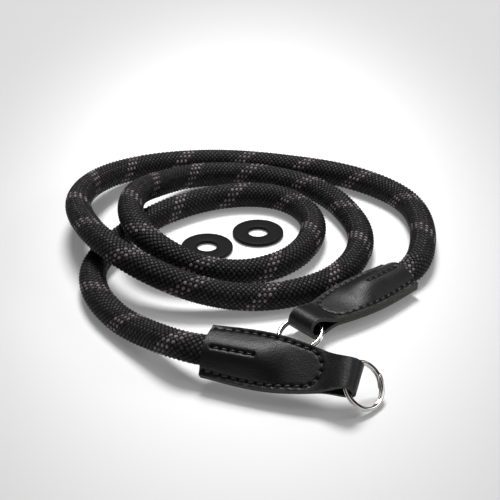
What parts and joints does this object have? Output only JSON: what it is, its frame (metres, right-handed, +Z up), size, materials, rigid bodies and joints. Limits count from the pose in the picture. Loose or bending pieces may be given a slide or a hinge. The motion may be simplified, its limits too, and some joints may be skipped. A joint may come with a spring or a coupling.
{
  "type": "coiled camera strap with two loose washers",
  "caption": "Round braided rope camera strap lying in a loose coil, with a folded leather end and split ring at each end and two loose washers.",
  "frame": {"origin": "on the surface that the strap lies on, under the middle of the box round its leather ends, rings and washers", "axes": "+Z up from the surface; the coil lies towards +Y, the front leather end towards -Y with its ring pointing to +X"},
  "size_m": [0.1473, 0.1826, 0.0221],
  "materials": {
    "rope": "tight black braid with small grey flecks",
    "leather": "smooth black leather, softly glossy",
    "steel": "bright polished steel wire",
    "washer": "matte black"
  },
  "bodies": {
    "root": {"rope": "rope", "leather_end_front": "leather", "leather_end_right": "leather", "split_ring_front": "steel", "split_ring_right": "steel", "washer_left": "washer", "washer_right": "washer"}
  },
  "joints": []
}
